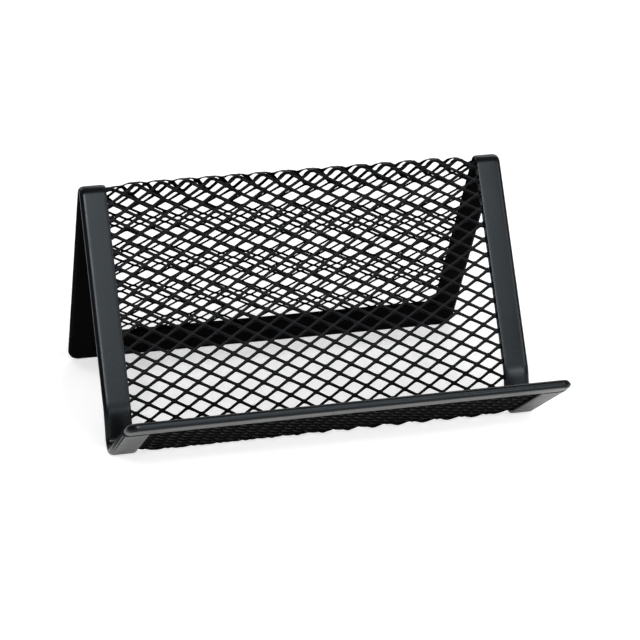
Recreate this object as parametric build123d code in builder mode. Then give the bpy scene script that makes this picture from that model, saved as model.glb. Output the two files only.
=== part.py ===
from build123d import *
import os
from math import atan2, ceil, cos, floor, radians, sin

# A card stand folded from one sheet of expanded steel mesh, with folded steel strip closed over its four edges.
# X is the width, +Y points to the back, and the desk is at Z = 0. Lengths are in millimetres, slopes in degrees.

# The side view, along the middle of the sheet from corner to corner
stand_width = 100.0
lip_length = 35.3
lip_slope = 30.1
upright_length = 11.1
upright_slope = 80.1
back_length = 50.8
back_slope = 62.1
leg_slope = 55.0
trough_radius = 2.6
knee_radius = 9.0
ridge_radius = 1.6

# The mesh, with diamond holes that lie the long way across the width
mesh_thickness = 0.8
mesh_long_pitch = 5.96
mesh_short_pitch = 3.65
strand_width = 0.62
mesh_first_row = 3.1
mesh_first_column = -1.0
mesh_margin = 0.4

# The strips folded over its edges
strip_thickness = 0.5
mesh_clearance = 0.05
mesh_edge_gap = 0.3
web_flat = 0.3
band_width = 5.8
lip_rail_width = 6.0
foot_rail_width = 9.0
corner_radius = 3.0
seam_gap = 0.15

# Sizes that follow from these
slot_height = mesh_thickness + 2 * mesh_clearance
hem_thickness = slot_height + 2 * strip_thickness
half_hem = hem_thickness / 2
edge_round = (hem_thickness - web_flat) / 2
half_width = stand_width / 2
sheet_inset = strip_thickness + mesh_edge_gap
sheet_half_width = half_width - sheet_inset


def along(slope, length):
    # a step in the side view, as (Y, Z)
    return Vector(cos(radians(slope)), sin(radians(slope))) * length


def tip_reach(slope):
    # how far the rounded edge of a strip reaches, level with the desk, past the end of its middle line
    return edge_round * (1 - cos(radians(slope))) + (half_hem - edge_round) * sin(radians(slope))


# Corners of the folds in the side view. The trough and the foot both stand on the desk
half_trough = (180 - lip_slope - upright_slope) / 2
trough_share = sin(radians(upright_slope + half_trough)) / sin(radians(half_trough))
trough_corner = Vector(0, half_hem + trough_radius * (1 - trough_share))
lip_tip = trough_corner + along(180 - lip_slope, lip_length)
knee_corner = trough_corner + along(upright_slope, upright_length)
ridge_corner = knee_corner + along(back_slope, back_length)
leg_length = (ridge_corner.Y - tip_reach(90 - leg_slope)) / sin(radians(leg_slope))
leg_tip = ridge_corner + along(-leg_slope, leg_length)

# The origin is under the middle of the depth
front = lip_tip.X - tip_reach(lip_slope)
back = leg_tip.X + tip_reach(leg_slope)
to_origin = Vector((front + back) / 2, 0)


def fold_line(lip_inset, foot_inset):
    # the middle line of the sheet, cut short at its two ends
    start = lip_tip + along(-lip_slope, lip_inset)
    stop = leg_tip + along(180 - leg_slope, foot_inset)
    corners = [point - to_origin for point in (start, trough_corner, knee_corner, ridge_corner, stop)]
    radii = (trough_radius, knee_radius, ridge_radius)
    return FilletPolyline(*[(corner.X, corner.Y) for corner in corners], radius=radii)


def across(point, heading):
    # the plane of the sheet at a point of the side view, with its local Y along the heading
    direction = Vector(0, heading.X, heading.Y)
    return Plane((0, point.X, point.Y), x_dir=(1, 0, 0), z_dir=Vector(1, 0, 0).cross(direction))


# Side bands, swept along the folds from one rail to the other
with BuildPart() as right_side_band:
    with BuildLine(Plane.YZ.offset(half_width)) as band_line:
        fold_line(lip_rail_width + seam_gap, foot_rail_width + seam_gap)
    with BuildSketch(Plane(band_line.line @ 0, x_dir=(1, 0, 0), z_dir=band_line.line % 0)):
        with Locations((-band_width / 2, 0)):
            Rectangle(band_width, hem_thickness)
        fillet(vertices().group_by(Axis.X)[-1], radius=edge_round)
        with Locations((-strip_thickness - band_width / 2, 0)):
            Rectangle(band_width, slot_height, mode=Mode.SUBTRACT)
    sweep()
right_side_band.part.label = "right_side_band"

with BuildPart() as left_side_band:
    mirror(right_side_band.part, about=Plane.YZ)
left_side_band.part.label = "left_side_band"


# Rails, closed over an end of the sheet and round its two corners
def folded_rail(tip, slope, width):
    plane = across(tip - to_origin, along(slope, 1))
    with BuildPart() as rail:
        with BuildSketch(plane):
            with Locations((0, width / 2)):
                Rectangle(stand_width, width)
            fillet(vertices().group_by(Axis.Y)[0], radius=corner_radius)
        extrude(amount=half_hem, both=True)
        open_side = rail.faces().sort_by(Axis(plane.origin, plane.y_dir))[-1]
        flats = rail.faces().sort_by(Axis(plane.origin, plane.z_dir))
        fillet((flats[0].edges() + flats[-1].edges()) - open_side.edges(), radius=edge_round)
        with BuildSketch(plane):
            with Locations((0, strip_thickness + width / 2)):
                Rectangle(stand_width - 2 * strip_thickness, width)
            fillet(vertices().group_by(Axis.Y)[0], radius=corner_radius - strip_thickness)
        extrude(amount=slot_height / 2, both=True, mode=Mode.SUBTRACT)
    return rail


lip_rail = folded_rail(lip_tip, -lip_slope, lip_rail_width)
lip_rail.part.label = "lip_rail"
foot_rail = folded_rail(leg_tip, 180 - leg_slope, foot_rail_width)
foot_rail.part.label = "foot_rail"

# Mesh sheet: rows of diamonds, each row cut square to the folded sheet, and a plain margin inside the strips
hole_angle = atan2(mesh_short_pitch, mesh_long_pitch)
hole_half_long = mesh_long_pitch / 2 - strand_width / 2 / sin(hole_angle)
hole_half_short = mesh_short_pitch / 2 - strand_width / 2 / cos(hole_angle)
row_pitch = mesh_short_pitch / 2
cut_reach = mesh_thickness + ridge_radius
with BuildLine() as sheet_line:
    fold_line(sheet_inset, sheet_inset)
sheet_path = sheet_line.wire()
last_row = sheet_path.length - mesh_margin - hole_half_short
last_column = sheet_half_width - mesh_margin - hole_half_long


def row_plane(distance):
    # the plane of the sheet at a distance along the folds from its front edge
    point = sheet_path.position_at(distance, position_mode=PositionMode.LENGTH)
    heading = sheet_path.tangent_at(distance, position_mode=PositionMode.LENGTH)
    return across(point, heading)


with BuildPart() as mesh_sheet:
    with BuildSketch(Plane.YZ):
        trace(sheet_path, line_width=mesh_thickness)
    extrude(amount=sheet_half_width, both=True)
    fillet(mesh_sheet.edges().sort_by(SortBy.LENGTH)[:4], radius=corner_radius - sheet_inset)
    for row in range(floor((last_row - mesh_first_row) / row_pitch) + 1):
        distance = mesh_first_row + row * row_pitch
        plane = row_plane(distance)
        above = plane.to_local_coords(row_plane(distance + hole_half_short).origin).Y
        below = plane.to_local_coords(row_plane(distance - hole_half_short).origin).Y
        shift = mesh_first_column + row % 2 * mesh_long_pitch / 2
        first = ceil((-last_column - shift) / mesh_long_pitch)
        last = floor((last_column - shift) / mesh_long_pitch)
        with BuildSketch(plane.offset(-cut_reach)):
            with Locations(*[(shift + column * mesh_long_pitch, 0) for column in range(first, last + 1)]):
                Polygon((hole_half_long, 0), (0, above), (-hole_half_long, 0), (0, below), align=None)
    extrude(amount=2 * cut_reach, mode=Mode.SUBTRACT, clean=False)
mesh_sheet.part.label = "mesh_sheet"

# One file for each piece
os.makedirs("parts", exist_ok=True)
for piece in (mesh_sheet, left_side_band, right_side_band, lip_rail, foot_rail):
    export_step(piece.part, f"parts/{piece.part.label}.step", write_pcurves=False)
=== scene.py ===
from math import cos, pi, radians, tan

import bmesh
import bpy
from mathutils import Matrix, Quaternion, Vector


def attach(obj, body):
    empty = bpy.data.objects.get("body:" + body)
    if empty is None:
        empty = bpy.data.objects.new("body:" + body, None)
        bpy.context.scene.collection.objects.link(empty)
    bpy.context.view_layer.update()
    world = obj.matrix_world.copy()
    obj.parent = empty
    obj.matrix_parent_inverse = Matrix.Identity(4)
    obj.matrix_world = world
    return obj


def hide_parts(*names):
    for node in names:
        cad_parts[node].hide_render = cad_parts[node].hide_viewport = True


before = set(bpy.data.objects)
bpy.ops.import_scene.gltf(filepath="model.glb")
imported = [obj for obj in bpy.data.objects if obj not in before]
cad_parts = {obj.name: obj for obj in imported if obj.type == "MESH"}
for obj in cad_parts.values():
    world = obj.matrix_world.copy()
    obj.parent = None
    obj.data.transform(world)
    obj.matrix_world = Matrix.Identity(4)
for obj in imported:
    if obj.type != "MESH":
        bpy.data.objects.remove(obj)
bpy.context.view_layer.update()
scene = bpy.context.scene
mm = 0.001
print("card stand: frame loaded with", len(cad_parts), "solids")


def linear(hexColor):  # sRGB hex to the linear values that the sockets take
    channels = [int(hexColor[i:i + 2], 16) / 255 for i in (1, 3, 5)]
    return [c / 12.92 if c <= 0.04045 else ((c + 0.055) / 1.055) ** 2.4 for c in channels] + [1.0]


def addNode(tree, kind, settings=None, links=None):
    node = tree.nodes.new(kind)
    for name, value in (settings or {}).items():
        if isinstance(name, str) and hasattr(node, name):
            setattr(node, name, value)
        else:
            node.inputs[name].default_value = value
    for name, source in (links or {}).items():
        tree.links.new(source, node.inputs[name])
    return node


def newMaterial(name):
    material = bpy.data.materials.new(name)
    material.use_nodes = True
    material.node_tree.nodes.clear()
    return material, material.node_tree


# Powder coat, sprayed on steel as dust and baked to a polyester skin: black, satin, with a faint orange peel that
# softens what it reflects, and clouds where it lies thinner and a little greyer. Sizes in mm
# The strip's and the mesh's tints turn their reflections a little blue: painted light colour, standing in for cool
# soft boxes, since the lamps are white
stripCoat = {"color": "#08090a", "thinColor": "#0d0e10", "roughness": (0.24, 0.31), "specular": 0.19,
             "tint": "#e8f6ff", "cloudSize": 14.0, "peelSize": 0.9, "peelDepth": 0.010}
# The mesh's coat is the strip's paint, set a touch darker and less glossy: painted shade, for the shade among the
# strands
meshCoat = {"color": "#060607", "thinColor": "#0a0a0b", "roughness": (0.24, 0.31), "specular": 0.055,
            "tint": "#f0f8ff", "cloudSize": 9.0, "peelSize": 0.5, "peelDepth": 0.008}
# Painted shade: a darker, duller copy of the coat, for the faces that lie in shade inside the leg: a deep black with
# little gloss
paintedShadeCoat = {"color": "#040405", "thinColor": "#070708", "roughness": (0.40, 0.55), "specular": 0.006,
              "tint": "#ffffff", "cloudSize": 11.0, "peelSize": 0.7, "peelDepth": 0.012}
# Shared by the three coats: the detail of the noise, and the noise values between which colour and gloss change
coatNoise = {"cloudDetail": 3.0, "peelDetail": 2.0, "colorSpan": (0.35, 0.65), "roughSpan": (0.3, 0.7)}


def powderCoat(name, coat):
    material, tree = newMaterial(name)
    place = addNode(tree, "ShaderNodeTexCoord").outputs["Object"]
    cloud = addNode(tree, "ShaderNodeTexNoise",
                    {"Scale": 1 / (coat["cloudSize"] * mm), "Detail": coatNoise["cloudDetail"]},
                    {"Vector": place}).outputs["Fac"]
    peel = addNode(tree, "ShaderNodeTexNoise",
                   {"Scale": 1 / (coat["peelSize"] * mm), "Detail": coatNoise["peelDetail"]},
                   {"Vector": place}).outputs["Fac"]
    color = addNode(tree, "ShaderNodeValToRGB", {}, {"Fac": cloud})
    shades = (coat["color"], coat["thinColor"])
    for stop, position, shade in zip(color.color_ramp.elements, coatNoise["colorSpan"], shades):
        stop.position = position
        stop.color = linear(shade)
    rough = addNode(tree, "ShaderNodeMapRange",
                    {"From Min": coatNoise["roughSpan"][0], "From Max": coatNoise["roughSpan"][1],
                     "To Min": coat["roughness"][0], "To Max": coat["roughness"][1]}, {"Value": cloud})
    bump = addNode(tree, "ShaderNodeBump", {"Distance": coat["peelDepth"] * mm}, {"Height": peel})
    skin = addNode(tree, "ShaderNodeBsdfPrincipled",
                   {"Specular IOR Level": coat["specular"], "Specular Tint": linear(coat["tint"])},
                   {"Base Color": color.outputs["Color"], "Roughness": rough.outputs["Result"],
                    "Normal": bump.outputs["Normal"]})
    addNode(tree, "ShaderNodeOutputMaterial", {}, {"Surface": skin.outputs["BSDF"]})
    return material


stripMaterial = powderCoat("satinPowderCoatOnStrip", stripCoat)
meshMaterial = powderCoat("satinPowderCoatOnMesh", meshCoat)
paintedShadeMaterial = powderCoat("powderCoatPaintedShade", paintedShadeCoat)
print("card stand: powder coats mixed")

# The folds in the side view, from the lip to the foot: lengths in mm, angles in degrees, turns with their radius.
# Every piece is made on the flat sheet, with X across it and Y along it, and then folded along these lines.
# Past the ridge, faces of the flat sheet that tilt up less than the tilt given here get the darker coat, as painted
# shade
folds = {"lipEdge": (-46.824, 16.734), "lipSlope": -30.1, "runs": (34.5, 9.7, 52.133, 66.38),
         "turns": ((110.2, 2.6), (-17.524, 9.0), (-117.576, 1.6)), "turnStep": 7.5, "easing": 0.5,
         "shadeTilt": 0.4}


def measureFolds():  # where the flat sheet bends and by how much, the middles of the bends, and its length
    steps, middles = [], []
    reached = 0.0
    cuts = [radius * tan(radians(abs(turn)) / 2) for turn, radius in folds["turns"]]
    for index, (turn, radius) in enumerate(folds["turns"]):
        reached += folds["runs"][index] - cuts[index] - (cuts[index - 1] if index else 0)
        count = round(abs(turn) / folds["turnStep"])
        arc = radius * radians(abs(turn))
        steps += [(reached - folds["easing"], 0.0)]
        steps += [(reached + arc * (k + 0.5) / count, turn / count) for k in range(count)]
        steps += [(reached + arc + folds["easing"], 0.0)]
        middles.append(reached + arc / 2)
        reached += arc
    return steps, middles, reached + folds["runs"][-1] - cuts[-1]


bendLines, bendMiddles, sheetLength = measureFolds()
troughMiddle, _, ridgeMiddle = bendMiddles


def cutFlat(bm, point, normal, clear=False):
    bmesh.ops.bisect_plane(bm, geom=bm.verts[:] + bm.edges[:] + bm.faces[:], plane_co=point, plane_no=normal,
                           clear_outer=clear)


def sharpEdges(bm, angle):
    return [e for e in bm.edges if len(e.link_faces) == 2 and e.calc_face_angle() > radians(angle)]


def roundEdges(bm, edges, offset, segments):
    bmesh.ops.bevel(bm, geom=edges, offset=offset, offset_type="OFFSET", segments=segments, profile=0.5,
                    affect="EDGES", material=-1)


def creaseFlat(bm):  # edge loops where the flat piece is going to bend
    for line, _ in bendLines:
        if min(v.co.y for v in bm.verts) < line < max(v.co.y for v in bm.verts):
            cutFlat(bm, (0, line, 0), (0, 1, 0))


# Painted shade: the faces past the ridge that face down or sideways, where the leg lies in its own shade, get the
# darker, duller coat
def paintLegShade(bm):  # the inner side of the leg, which is the lower side of the flat sheet past the ridge
    bm.normal_update()
    for face in bm.faces:
        pastRidge = face.calc_center_median().y > ridgeMiddle
        face.material_index = int(face.normal.z < folds["shadeTilt"] and pastRidge)


def foldFlat(bm):
    flatY = {v: v.co.y for v in bm.verts}
    for line, turn in reversed(bendLines):
        past = [v for v in bm.verts if flatY[v] > line]
        bmesh.ops.rotate(bm, cent=(0, line, 0), matrix=Matrix.Rotation(radians(turn), 3, "X"), verts=past)
    slope = Matrix.Rotation(radians(folds["lipSlope"]), 3, "X")
    bmesh.ops.rotate(bm, cent=(0, 0, 0), matrix=slope, verts=bm.verts)
    bmesh.ops.translate(bm, vec=(0, *folds["lipEdge"]), verts=bm.verts)


def finishPiece(bm, name, material, node):
    bmesh.ops.recalc_face_normals(bm, faces=bm.faces)
    bmesh.ops.scale(bm, vec=(mm, mm, mm), verts=bm.verts)
    for face in bm.faces:
        face.smooth = True
    data = bpy.data.meshes.new(name)
    bm.to_mesh(data)
    bm.free()
    data.materials.append(material)
    data.materials.append(paintedShadeMaterial)
    piece = bpy.data.objects.new(name, data)
    scene.collection.objects.link(piece)
    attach(piece, "root")
    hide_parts(node)
    print("card stand:", name, "has", sum(len(f.vertices) - 2 for f in data.polygons), "triangles")


# Expanded steel mesh: a slit sheet pulled open, so each strand stands turned out of the sheet. Lengths in mm,
# angles in degrees. The bows are those of the trough and of the ridge
meshStock = {"longWay": 5.964, "shortWay": 3.646, "rowClimb": 1.14, "columnLean": 0.63, "hole": (1.99, 45.11),
             "strandWidth": 0.68, "strandThickness": 0.30, "strandTurn": 0.27, "bondReach": 0.40,
             "edgeRound": 0.09, "edgeAngle": 50.0, "halfWidth": 49.2, "rowsOut": 60,
             "bow": (-0.46, 0.88), "bowFlat": (0.0, 0.35), "bowLength": 6.0, "bowFade": 7.0, "bowEdge": 44.0,
             "lipRise": 0.65, "riseSpan": (6.0, 37.5), "riseEase": 3.0}
# The sheet isn't drawn quite evenly: its rows are shifted on the lip and lie closer at the trough, fan out up the
# back, close up before the ridge, open behind it, and stand wider down the leg. Lengths and spans in mm
rowDrift = {"lipShift": 0.91, "lipSpan": (38.0, 32.0), "fan": (0.47, -0.69), "fanPower": 1.3,
            "fanSpan": (45.0, 91.0), "pinch": -0.32, "pinchPower": 3, "squeeze": -0.4, "squeezeSpan": (89.5, 93.8),
            "ridgeSlack": 1.29, "slackSpan": (93.8, 96.3), "legStretch": 5.73, "legEase": -0.87, "legShift": -0.40}


def ramp(value, start, end):  # 0 before the start, 1 past the end, and even in between
    return min(max((value - start) / (end - start), 0), 1)


def driftRows(bm):
    for v in bm.verts:
        across = v.co.x / meshStock["bowEdge"]
        lipward = ramp(v.co.y, *rowDrift["lipSpan"])
        up = ramp(v.co.y, *rowDrift["fanSpan"])
        near = ramp(v.co.y, *rowDrift["squeezeSpan"])
        over = ramp(v.co.y, *rowDrift["slackSpan"])
        down = max((v.co.y - ridgeMiddle) / (sheetLength - ridgeMiddle), 0)
        v.co.x += rowDrift["pinch"] * across * up ** rowDrift["pinchPower"] * (1 - over) + rowDrift["legShift"] * over
        v.co.y += rowDrift["lipShift"] * lipward
        v.co.y += (rowDrift["fan"][0] + rowDrift["fan"][1] * across) * up ** rowDrift["fanPower"]
        v.co.y += rowDrift["squeeze"] * near + (rowDrift["ridgeSlack"] - rowDrift["squeeze"]) * over
        v.co.y += (rowDrift["legStretch"] + rowDrift["legEase"] * down) * down


def flatMesh(bm):
    halfLong, halfShort = meshStock["longWay"] / 2, meshStock["shortWay"] / 2
    across = Vector((halfLong, halfLong * tan(radians(meshStock["rowClimb"])), 0))
    along = Vector((-halfShort * tan(radians(meshStock["columnLean"])), halfShort, 0))
    a, b = across + along, across - along
    start = Vector((*meshStock["hole"], 0)) - across
    diamonds = Matrix([[a.x, b.x, 0, start.x], [a.y, b.y, 0, start.y], [0, 0, 1, 0], [0, 0, 0, 1]])
    bmesh.ops.create_grid(bm, x_segments=2 * meshStock["rowsOut"], y_segments=2 * meshStock["rowsOut"],
                          size=meshStock["rowsOut"], matrix=diamonds)
    spare = meshStock["longWay"]
    outside = [f for f in bm.faces if abs(f.calc_center_median().x) > meshStock["halfWidth"] + spare
               or not -spare < f.calc_center_median().y < sheetLength + spare]
    bmesh.ops.delete(bm, geom=outside, context="FACES")
    bmesh.ops.bevel(bm, geom=bm.verts[:], offset=meshStock["bondReach"], offset_type="OFFSET", segments=1,
                    profile=0.5, affect="VERTICES", material=-1)
    holes = [f for f in bm.faces if f.calc_area() > halfLong * halfShort]
    bmesh.ops.inset_individual(bm, faces=holes, thickness=meshStock["strandWidth"] / 2, use_even_offset=True)
    for hole in holes:  # turn the strands: one side of each hole sinks and the other rises
        middle = hole.calc_center_median().y
        half = max(v.co.y for v in hole.verts) - middle
        for v in hole.verts:
            v.co.z = -meshStock["strandTurn"] * (v.co.y - middle) / half
    bmesh.ops.delete(bm, geom=holes, context="FACES_ONLY")
    bmesh.ops.recalc_face_normals(bm, faces=bm.faces)
    bmesh.ops.solidify(bm, geom=bm.faces[:], thickness=meshStock["strandThickness"])
    heights = [v.co.z for v in bm.verts]
    bmesh.ops.translate(bm, vec=(0, 0, -(min(heights) + max(heights)) / 2), verts=bm.verts)
    roundEdges(bm, sharpEdges(bm, meshStock["edgeAngle"]), meshStock["edgeRound"], 1)
    driftRows(bm)
    cutFlat(bm, (meshStock["halfWidth"], 0, 0), (1, 0, 0), clear=True)
    cutFlat(bm, (-meshStock["halfWidth"], 0, 0), (-1, 0, 0), clear=True)
    cutFlat(bm, (0, 0, 0), (0, -1, 0), clear=True)
    cutFlat(bm, (0, sheetLength, 0), (0, 1, 0), clear=True)
    bmesh.ops.holes_fill(bm, edges=[e for e in bm.edges if e.is_boundary])
    creaseFlat(bm)


def raiseLip(bm):  # on the lip the strands stand up further, so that it looks closed from in front
    low, high = meshStock["riseSpan"]
    for v in bm.verts:
        inward = min(meshStock["bowEdge"] - abs(v.co.x), v.co.y - low, high - v.co.y)
        if inward > 0:
            v.co.z *= 1 + meshStock["lipRise"] * min(inward / meshStock["riseEase"], 1)


def bowMesh(bm):  # the mesh springs out a little at its two tight bends, between the side bands
    for middle, bow, flat in zip((troughMiddle, ridgeMiddle), meshStock["bow"], meshStock["bowFlat"]):
        for v in bm.verts:
            away = abs(v.co.y - middle) / meshStock["bowLength"]
            inward = (meshStock["bowEdge"] - abs(v.co.x)) / meshStock["bowFade"]
            if away < 1 and inward > 0:
                ease = 0.5 - 0.5 * cos(pi * min(inward, 1))
                near = ease * (0.5 + 0.5 * cos(pi * away))
                v.co.z = v.co.z * (1 - flat * near) + bow * near


def makeMesh():
    bm = bmesh.new()
    flatMesh(bm)
    raiseLip(bm)
    bowMesh(bm)
    paintLegShade(bm)
    foldFlat(bm)
    finishPiece(bm, "expandedMesh", meshMaterial, "mesh_sheet")


makeMesh()

# Steel strip closed over the sheet's edges: two flanges and a rolled outer edge. Lengths in mm, angles in degrees.
# Crimp, crown and nose say over what width the flanges are pressed together at an edge, and by what share: at the
# open edge, at a band's outer edge and a rail's ends, and along a rail's front
strip = {"halfWidth": 50.0, "lipHalf": 49.6, "past": 0.8, "thickness": 0.5, "hem": 1.9, "seam": 0.15,
         "leftBand": 6.2, "rightBand": 5.95, "lipRail": 6.0, "footRail": 9.0,
         "corner": 3.0, "cornerSegments": 10, "rollRound": 0.7, "rollSegments": 6, "rollAngle": 80.0,
         "flatEase": 0.3, "crimp": (1.0, 0.20), "crown": (1.5, 0.45), "nose": (1.5, 0.15), "pressCuts": 4,
         "rimRound": 0.20, "rimSegments": 3, "rimAngle": 60.0, "rimReach": 0.05}
# How near counts as level in mm, and how nearly a face's normal follows a direction to count as facing it
alike = {"level": 0.1, "facing": 0.9, "flat": 0.9999}


def rise(edge):  # how far one end of an edge stands above the other
    return abs(edge.verts[0].co.z - edge.verts[1].co.z)


def pressEdge(bm, low, high, side, width, depth):  # both flanges ease in towards one edge of the flat strip
    edge = max(low.dot(side), high.dot(side))
    for k in range(strip["pressCuts"]):
        cutFlat(bm, side * (edge - width * (k + 1) / strip["pressCuts"]), side)
    for v in bm.verts:
        reach = max(1 - (edge - v.co.dot(side)) / width, 0)
        v.co.z *= 1 - depth * reach ** 2


def flatStrip(bm, low, high, openSides, roundEnd=None):
    low, high = Vector((*low, -strip["hem"] / 2)), Vector((*high, strip["hem"] / 2))
    place = Matrix.Translation((low + high) / 2) @ Matrix.Diagonal((*(high - low), 1))
    bmesh.ops.create_cube(bm, size=1, matrix=place)
    bm.normal_update()
    if roundEnd is not None:
        corners = [e for e in bm.edges if rise(e) > alike["level"]
                   and all(abs(v.co.y - roundEnd) < alike["level"] for v in e.verts)]
        roundEdges(bm, corners, strip["corner"], strip["cornerSegments"])
    openFaces = [f for f in bm.faces if any(f.normal.dot(Vector(side)) > alike["facing"] for side in openSides)]
    bmesh.ops.delete(bm, geom=openFaces, context="FACES")
    rolls = [e for e in sharpEdges(bm, strip["rollAngle"]) if rise(e) < alike["level"]]
    roundEdges(bm, rolls, strip["rollRound"], strip["rollSegments"])
    flanges = [f for f in bm.faces if abs(f.normal.z) > alike["flat"]]
    bmesh.ops.inset_region(bm, faces=flanges, thickness=strip["flatEase"], use_boundary=True, use_even_offset=True)
    inward = Vector(openSides[0])
    pressEdge(bm, low, high, inward, *strip["crimp"])
    if roundEnd is None:
        pressEdge(bm, low, high, -inward, *strip["crown"])
    else:
        pressEdge(bm, low, high, -inward, *strip["nose"])
        pressEdge(bm, low, high, Vector((1, 0, 0)), *strip["crown"])
        pressEdge(bm, low, high, Vector((-1, 0, 0)), *strip["crown"])
    bmesh.ops.solidify(bm, geom=bm.faces[:], thickness=strip["thickness"])
    rim = max(low.dot(inward), high.dot(inward)) - strip["rimReach"]
    rims = [e for e in sharpEdges(bm, strip["rimAngle"]) if all(v.co.dot(inward) > rim for v in e.verts)]
    roundEdges(bm, rims, strip["rimRound"], strip["rimSegments"])


def makeBand(name, node, side, width):
    start = strip["lipRail"] + strip["seam"] - strip["past"]
    stop = sheetLength + strip["past"] - strip["footRail"] - strip["seam"]
    outer, inner = side * strip["halfWidth"], side * (strip["halfWidth"] - width)
    bm = bmesh.new()
    flatStrip(bm, (min(outer, inner), start), (max(outer, inner), stop), ((-side, 0, 0), (0, -1, 0), (0, 1, 0)))
    creaseFlat(bm)
    paintLegShade(bm)
    foldFlat(bm)
    finishPiece(bm, name, stripMaterial, node)


def makeRail(name, node, tip, width, half):  # width is negative on the rail that closes the far end
    bm = bmesh.new()
    flatStrip(bm, (-half, min(tip, tip + width)), (half, max(tip, tip + width)),
              ((0, 1 if width > 0 else -1, 0), ), tip)
    paintLegShade(bm)
    foldFlat(bm)
    finishPiece(bm, name, stripMaterial, node)


makeBand("leftBand", "left_side_band", -1, strip["leftBand"])
makeBand("rightBand", "right_side_band", 1, strip["rightBand"])
makeRail("lipRail", "lip_rail", -strip["past"], strip["lipRail"], strip["lipHalf"])
makeRail("footRail", "foot_rail", sheetLength + strip["past"], -strip["footRail"], strip["halfWidth"])

# The camera of the photograph: angles in degrees, lengths in mm, the clip in metres
viewpoint = {"aim": (3.487, -1.560, 21.032), "azimuth": -13.401, "elevation": 18.771, "roll": -0.985,
             "distance": 532.99, "lens": 128.66, "sensor": 36.0, "clip": (0.01, 50.0)}


def placeCamera():
    data = bpy.data.cameras.new("camera")
    data.lens = viewpoint["lens"]
    data.sensor_width = viewpoint["sensor"]
    data.clip_start, data.clip_end = viewpoint["clip"]
    camera = bpy.data.objects.new("camera", data)
    scene.collection.objects.link(camera)
    sideways = Matrix.Rotation(radians(viewpoint["azimuth"]), 3, "Z")
    back = sideways @ Matrix.Rotation(-radians(viewpoint["elevation"]), 3, "X") @ Vector((0, -1, 0))
    camera.rotation_mode = "QUATERNION"
    camera.location = (Vector(viewpoint["aim"]) + back * viewpoint["distance"]) * mm
    level = (-back).to_track_quat("-Z", "Y")
    camera.rotation_quaternion = level @ Quaternion((0, 0, 1), radians(viewpoint["roll"]))
    scene.camera = camera


placeCamera()

# Studio: a white paper floor that the camera sees a little brighter than it is lit, more so in front of the stand,
# and gloss sees less so. Soft boxes stand in front and above, to the left (small and bright), low in front, low at
# the right for the knee, at the right, and two behind. The walls are pale behind and dark elsewhere. In metres
studio = {"floorSize": 6.0, "floorColor": "#ededed", "floorLift": (0.36, 0.72), "liftSpan": (-0.013, -0.021),
          "glossLift": 0.42,
          "boxes": {"frontBox": {"radiance": 4.3, "place": (0.25, -1.56, 1.47), "size": (1.32, 0.68)},
                    "leftBox": {"radiance": 32.0, "place": (-0.58, -1.60, 1.33), "size": (0.32, 0.44)},
                    "lowBox": {"radiance": 3.5, "place": (0.35, -2.10, 0.45), "size": (1.60, 0.80)},
                    "kneeBox": {"radiance": 14.0, "place": (0.73, -1.91, 0.54), "size": (0.32, 0.22)},
                    "rightBox": {"radiance": 4.5, "place": (1.50, -1.25, 0.95), "size": (0.80, 0.70)},
                    "backLeftBox": {"radiance": 3.0, "place": (-0.75, 1.35, 1.50), "size": (1.20, 0.50)},
                    "backRightBox": {"radiance": 3.0, "place": (0.75, 1.35, 1.50), "size": (1.20, 0.50)}},
          "boxColor": "#ffffff", "wallColor": "#ffffff", "paleSide": (0.0, 0.97, 0.24), "paleSpan": (0.2, 0.9),
          "darkWall": 0.06, "paleWall": 0.6}


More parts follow.
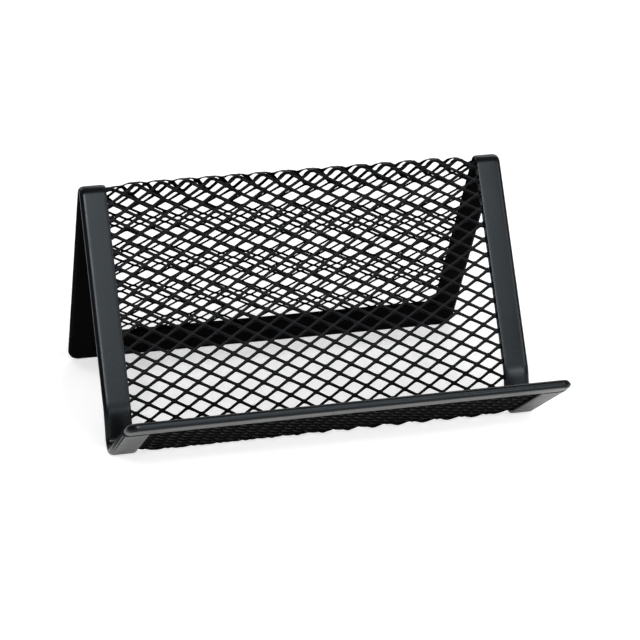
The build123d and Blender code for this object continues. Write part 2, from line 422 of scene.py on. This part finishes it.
def makeFloor():
    bm = bmesh.new()
    bmesh.ops.create_grid(bm, x_segments=1, y_segments=1, size=studio["floorSize"])
    data = bpy.data.meshes.new("floor")
    bm.to_mesh(data)
    bm.free()
    floor = bpy.data.objects.new("floor", data)
    scene.collection.objects.link(floor)
    material, tree = newMaterial("whitePaperFloor")  # matt and white, so the stand shows dark on it
    rays = addNode(tree, "ShaderNodeLightPath").outputs
    gloss = addNode(tree, "ShaderNodeMath", {"operation": "MULTIPLY", 1: studio["glossLift"]},
                    {0: rays["Is Glossy Ray"]})
    direct = addNode(tree, "ShaderNodeMath", {"operation": "MAXIMUM"},
                     {0: rays["Is Camera Ray"], 1: gloss.outputs["Value"]})
    seen = addNode(tree, "ShaderNodeMath", {"operation": "MAXIMUM"},
                   {0: direct.outputs["Value"], 1: rays["Is Transmission Ray"]})
    place = addNode(tree, "ShaderNodeTexCoord").outputs["Object"]
    forward = addNode(tree, "ShaderNodeSeparateXYZ", {}, {"Vector": place}).outputs["Y"]
    # Painted light: the glow grows towards the front of the stand, which pales the stand's shadow on the floor there
    below = addNode(tree, "ShaderNodeMapRange",
                    {"From Min": studio["liftSpan"][0], "From Max": studio["liftSpan"][1],
                     "To Min": studio["floorLift"][0], "To Max": studio["floorLift"][1]}, {"Value": forward})
    lift = addNode(tree, "ShaderNodeMath", {"operation": "MULTIPLY"},
                   {0: seen.outputs["Value"], 1: below.outputs["Result"]})
    glow = addNode(tree, "ShaderNodeEmission", {}, {"Strength": lift.outputs["Value"]})
    paper = addNode(tree, "ShaderNodeBsdfDiffuse", {"Color": linear(studio["floorColor"])})
    both = addNode(tree, "ShaderNodeAddShader", {}, {0: paper.outputs["BSDF"], 1: glow.outputs["Emission"]})
    addNode(tree, "ShaderNodeOutputMaterial", {}, {"Surface": both.outputs["Shader"]})
    data.materials.append(material)


def makeLights():
    for name, box in studio["boxes"].items():
        data = bpy.data.lights.new(name, "AREA")
        data.shape = "RECTANGLE"
        data.color = linear(studio["boxColor"])[:3]
        data.size, data.size_y = box["size"]
        data.energy = 4 * box["radiance"] * data.size * data.size_y  # a lamp's power is 4 x radiance x area
        light = bpy.data.objects.new(name, data)
        scene.collection.objects.link(light)
        light.location = box["place"]
        light.rotation_mode = "QUATERNION"
        light.rotation_quaternion = (-Vector(box["place"])).to_track_quat("-Z", "Y")


def makeWalls():
    world = bpy.data.worlds.new("studio")
    scene.world = world
    world.use_nodes = True
    tree = world.node_tree
    sky = addNode(tree, "ShaderNodeTexCoord").outputs["Generated"]
    facing = addNode(tree, "ShaderNodeVectorMath", {"operation": "DOT_PRODUCT", 1: studio["paleSide"]}, {0: sky})
    wall = addNode(tree, "ShaderNodeMapRange",
                   {"From Min": studio["paleSpan"][0], "From Max": studio["paleSpan"][1],
                    "To Min": studio["darkWall"], "To Max": studio["paleWall"]}, {"Value": facing.outputs["Value"]})
    tree.nodes["Background"].inputs["Color"].default_value = linear(studio["wallColor"])
    tree.links.new(wall.outputs["Result"], tree.nodes["Background"].inputs["Strength"])


makeFloor()
makeLights()
makeWalls()
scene.view_settings.view_transform = "Standard"
print("card stand: camera, floor, lights and walls placed")
